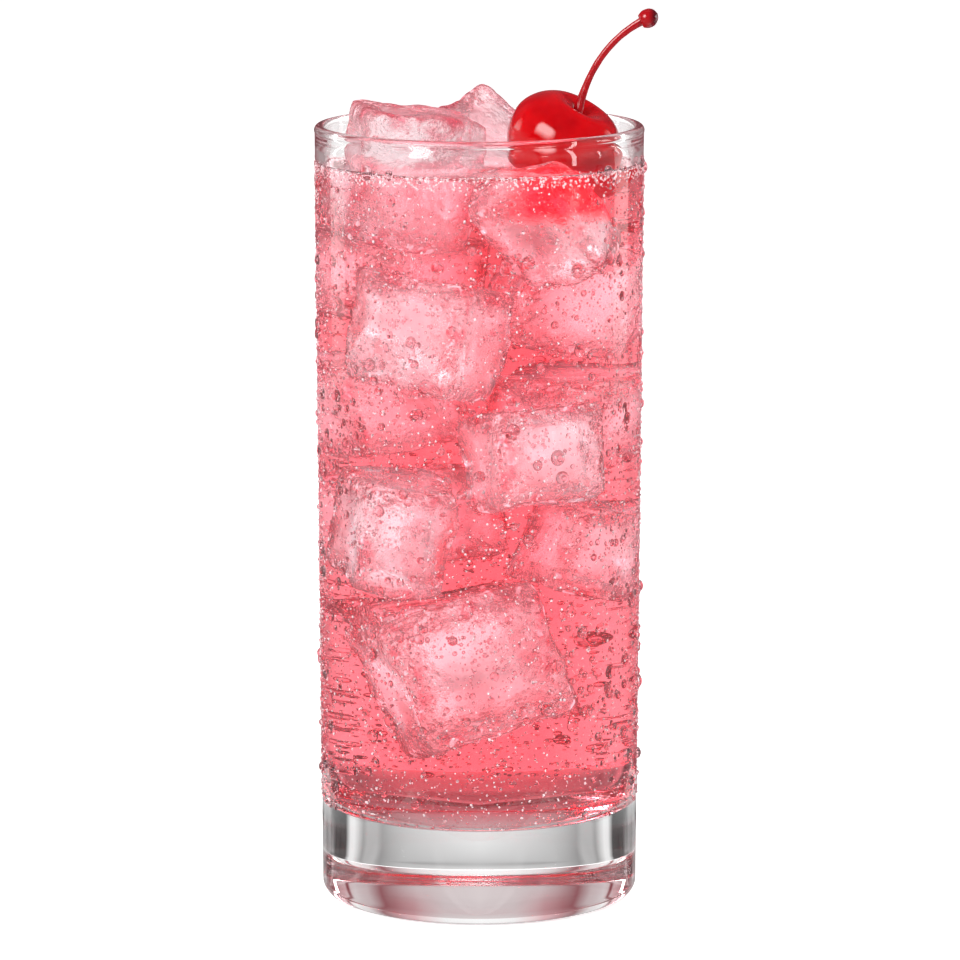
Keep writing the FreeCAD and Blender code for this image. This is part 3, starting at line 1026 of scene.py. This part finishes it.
def white_floor():
    """White table top, plain to the eye. Seen through the glass it darkens towards its corners, a painted
    shade; in reflections it is dimmer and painted pink.
    """
    material, tree, shader = new_material("white_floor", {
        "Roughness": 0.6, "Specular IOR Level": 0.2, "Emission Color": WHITE})
    path = tree.nodes.new("ShaderNodeLightPath").outputs
    # Painted shade: seen through the glass the floor darkens towards the set's corners.
    shaded = shades(tree, off_square(tree), ((0.0, 1.0), (0.5, 1.0), (0.75, 0.95), (1.0, 0.7)))
    seen = mix_levels(tree, path["Is Transmission Ray"], 1.0, shaded)
    through = mathematics(tree, "MAXIMUM", path["Is Transmission Ray"], path["Is Camera Ray"])
    plain = mathematics(tree, "MAXIMUM", through, path["Is Diffuse Ray"])
    # Painted shade: dimmer in reflections, and pink painted where it is dim, for the drink's light.
    level = multiply(tree, seen, ramp(tree, path["Glossy Depth"], 0, 1, 1.0, 0.5))
    albedo = multiply(tree, level, ramp(tree, plain, 0, 1, 0.25, 0.86))
    painted_pink_tint = mix_colours(tree, ramp(tree, albedo, 0.2, 0.6, 0, 1), PAINTED_FLOOR_PINK, albedo)
    tree.links.new(painted_pink_tint, shader.inputs["Base Color"])
    camera_glow = multiply(tree, path["Is Camera Ray"], 0.62)
    through_glow = multiply(tree, path["Is Transmission Ray"], 0.45)
    glow = mathematics(tree, "MAXIMUM", camera_glow, through_glow)
    tree.links.new(multiply(tree, glow, level), shader.inputs["Emission Strength"])
    return material


def stage_card(name, corners, material):
    """A flat four-sided piece of the set."""
    mesh = bpy.data.meshes.new(name)
    mesh.from_pydata([tuple(corner) for corner in corners], [], [(0, 1, 2, 3)])
    card = bpy.data.objects.new(name, mesh)
    bpy.context.scene.collection.objects.link(card)
    card.data.materials.append(material)
    return card


def flat_corners(half, z):
    """The corners of a level square about the axis."""
    return [(-half, -half, z), (half, -half, z), (half, half, z), (-half, half, z)]


def only_in_glass(card):
    """Leaves a card out of the view, the shadows and the plain light."""
    card.visible_camera = False
    card.visible_diffuse = False
    card.visible_shadow = False


stage_card("floor", flat_corners(FLOOR_HALF, FLOOR_Z), white_floor())


def graded_card():
    """Card round the foot, shaded from white to black and back, seen only through the glass."""
    material, tree, shader = new_material("graded_card", {
        "Base Color": BLACK, "Specular IOR Level": 0.0, "Emission Color": WHITE})
    sides = off_square(tree, "Object", 5.5 * MM, 31.0 * MM)
    stops = ((0.0, 0.89), (0.052, 0.85), (0.106, 0.78), (0.16, 0.66), (0.218, 0.55), (0.267, 0.44),
             (0.306, 0.33), (0.333, 0.46), (0.39, 0.46), (0.42, 0.34), (0.468, 0.66), (0.51, 0.88),
             (0.56, 0.85), (0.60, 0.4), (0.635, 0.02), (0.96, 0.02))
    near_front = shades(tree, multiply(tree, sides, 0.6), stops)
    graded = mathematics(tree, "MAXIMUM", near_front, ramp(tree, sides, 1.7, 2.2, 0, 0.45))
    outer_edge = ramp(tree, distance_from(tree, (0, 0, 0)), 0.078, 0.1, 0, 1)
    tree.links.new(mix_levels(tree, outer_edge, graded, 1.1), shader.inputs["Emission Strength"])
    return material


only_in_glass(stage_card("graded_card", flat_corners(CARD_HALF, CARD_Z), graded_card()))


def glow_card(name, middle, width, height, strength):
    """An upright white card, facing the glass, that only shows as a highlight on it."""
    material, tree, shader = new_material(name, {"Base Color": BLACK, "Emission Color": WHITE})
    rounded = ramp(tree, distance_from(tree, middle), height * 0.2, height * 0.45, strength, 0)
    low_fade = ramp(tree, axes(tree)[2], 0.0, 0.12, 0, 1)
    tree.links.new(multiply(tree, rounded, low_fade), shader.inputs["Emission Strength"])
    middle = Vector(middle)
    across = Vector((-middle.y, middle.x, 0)).normalized() * width / 2
    rise = Vector((0, 0, height / 2))
    corners = [middle - across - rise, middle + across - rise, middle + across + rise, middle - across + rise]
    card = stage_card(name, corners, material)
    only_in_glass(card)
    card.visible_transmission = False


# Name, middle, width, height and strength of each card.
for card in (
        ("strip_left", (-0.278, 0.125, 0.16), 0.10, 0.32, 2.2),
        ("strip_right", (0.278, 0.125, 0.16), 0.10, 0.32, 2.2),
        ("front_left_card", (-0.60, -0.72, 0.78), 0.95, 1.05, 9),
        ("front_right_card", (0.85, 0.10, 0.28), 0.14, 0.34, 7)):
    glow_card(*card)

# Name, width, height, place and power of each soft lamp.
for name, width, height, place, power in (
        ("soft_left", 0.30, 0.55, (-0.75, -0.75, 0.62), 14),
        ("soft_right", 0.07, 0.7, (0.9, -0.3, 0.35), 5),
        ("soft_top", 0.7, 0.5, (0.1, 0.2, 1.1), 4),
        ("kick_left", 0.05, 0.6, (-0.8, 0.55, 0.4), 3),
        ("kick_right", 0.05, 0.6, (0.8, 0.55, 0.4), 3)):
    lamp = bpy.data.lights.new(name, "AREA")
    lamp.shape = "RECTANGLE"
    lamp.size = width
    lamp.size_y = height
    lamp.energy = power
    holder = bpy.data.objects.new(name, lamp)
    holder.location = place
    aim = Vector((0, 0, GLASS_HEIGHT / 2)) - Vector(place)
    holder.rotation_euler = aim.to_track_quat("-Z", "Y").to_euler()
    holder.visible_glossy = False
    bpy.context.scene.collection.objects.link(holder)

world = bpy.data.worlds.new("studio")
world.use_nodes = True
bpy.context.scene.world = world
sky = world.node_tree
background = sky.nodes["Background"].inputs
path = sky.nodes.new("ShaderNodeLightPath").outputs
around = shades(sky, off_square(sky, "Generated"), (
    (0.0, 1.0), (0.087, 0.97), (0.176, 0.9), (0.268, 0.8), (0.364, 0.55), (0.445, 0.3), (0.51, 0.1),
    (0.555, 0.3), (0.65, 0.7), (0.78, 0.85), (0.85, 0.97), (0.93, 0.95), (0.97, 0.3), (1.0, 0.0)))
overhead = ramp(sky, axes(sky, "Generated")[2], 0.25, 0.7, 1.0, 0.85)
mirrored = ramp(sky, path["Glossy Depth"], 0, 1, 1.0, 0.6)
in_glass = ramp(sky, path["Is Transmission Ray"], 0, 1, 0.12, 1.0)
level = multiply(sky, multiply(sky, around, overhead), multiply(sky, mirrored, in_glass))
shaded = mix_colours(sky, level, SKY_PINK, WHITE)
seen_white = mathematics(sky, "MAXIMUM", path["Is Diffuse Ray"], path["Is Camera Ray"])
sky.links.new(mix_colours(sky, seen_white, shaded, WHITE), background["Color"])
sky.links.new(ramp(sky, path["Is Diffuse Ray"], 0, 1, 1.0, 0.5), background["Strength"])

CAMERA_PLACE = (0.00014, -1.1136, 0.2764)
CAMERA_LOOKS_DOWN = 9.83
LENS_LENGTH = 213.3
lens = bpy.data.cameras.new("camera")
lens.lens = LENS_LENGTH
lens.sensor_width = 36
lens.clip_start = 0.05
lens.clip_end = 60
camera = bpy.data.objects.new("camera", lens)
camera.location = CAMERA_PLACE
camera.rotation_euler = Euler((math.radians(90 - CAMERA_LOOKS_DOWN), 0, 0))
bpy.context.scene.collection.objects.link(camera)
bpy.context.scene.camera = camera

scene = bpy.context.scene
scene.view_settings.view_transform = "Standard"
scene.cycles.max_bounces = 28
scene.cycles.transmission_bounces = 28
scene.cycles.glossy_bounces = 16
scene.cycles.transparent_max_bounces = 16
